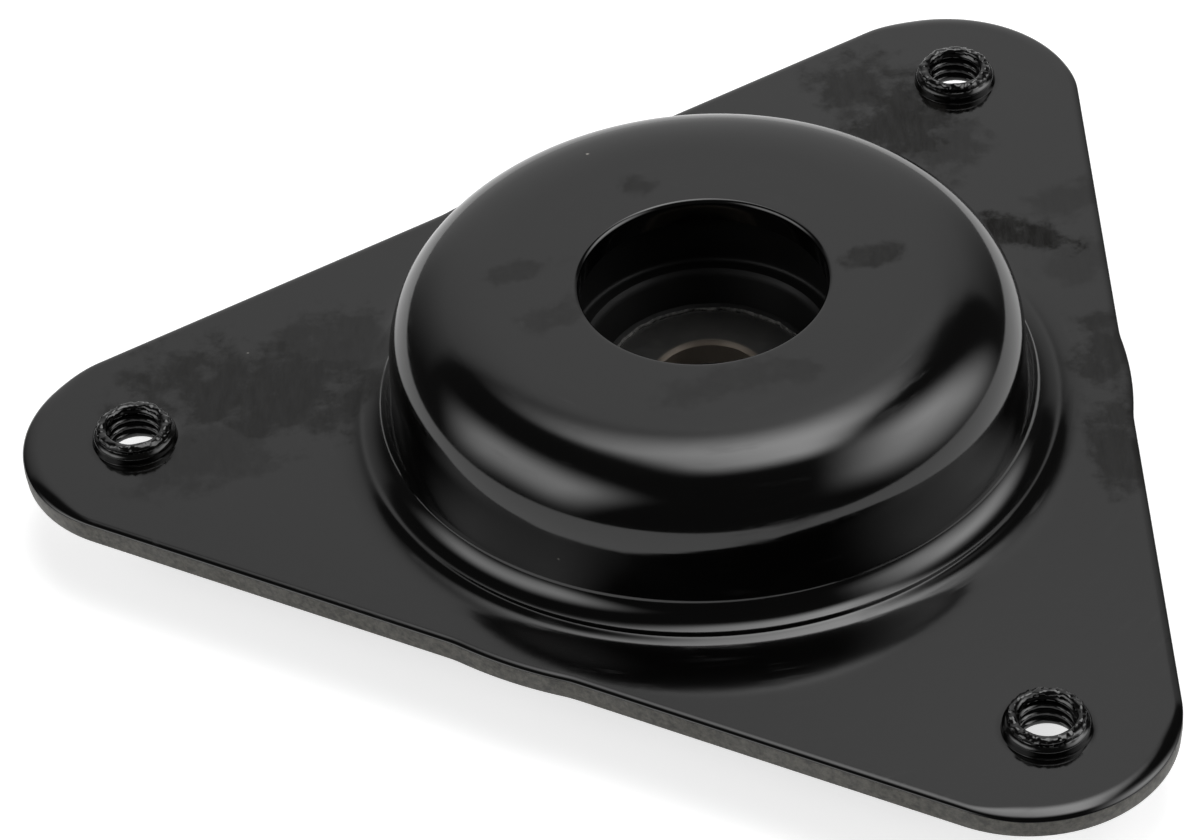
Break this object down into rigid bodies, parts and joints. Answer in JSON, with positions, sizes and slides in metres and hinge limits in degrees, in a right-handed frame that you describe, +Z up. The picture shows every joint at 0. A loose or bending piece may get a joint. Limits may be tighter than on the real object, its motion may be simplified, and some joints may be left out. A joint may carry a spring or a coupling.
{
  "type": "strut mount",
  "caption": "Triangular pressed-steel strut mount: a drawn dome holds a rubber isolator whose dished insert carries the strut rod, and threaded collars at the corners bolt it to the tower.",
  "frame": {"origin": "centre of the bolt circle on the plate's top face, which meets the strut tower; the strut rod's axis passes through it", "axes": "+Z up along the strut rod's axis, out of the dome's opening; -X points at one of the corners"},
  "size_m": [0.1447, 0.1606, 0.0322],
  "materials": {
    "black_paint": "semi-gloss black dip paint over pressed steel",
    "rubber": "matt black moulded rubber",
    "insert_steel": "dark phosphated steel, brown in the bore",
    "retainer_paint": "semi-gloss black dip paint over pressed steel"
  },
  "bodies": {
    "root": {"mount_plate": "black_paint", "rubber_isolator": "rubber", "inner_insert": "insert_steel", "lower_retainer": "retainer_paint"}
  },
  "joints": []
}
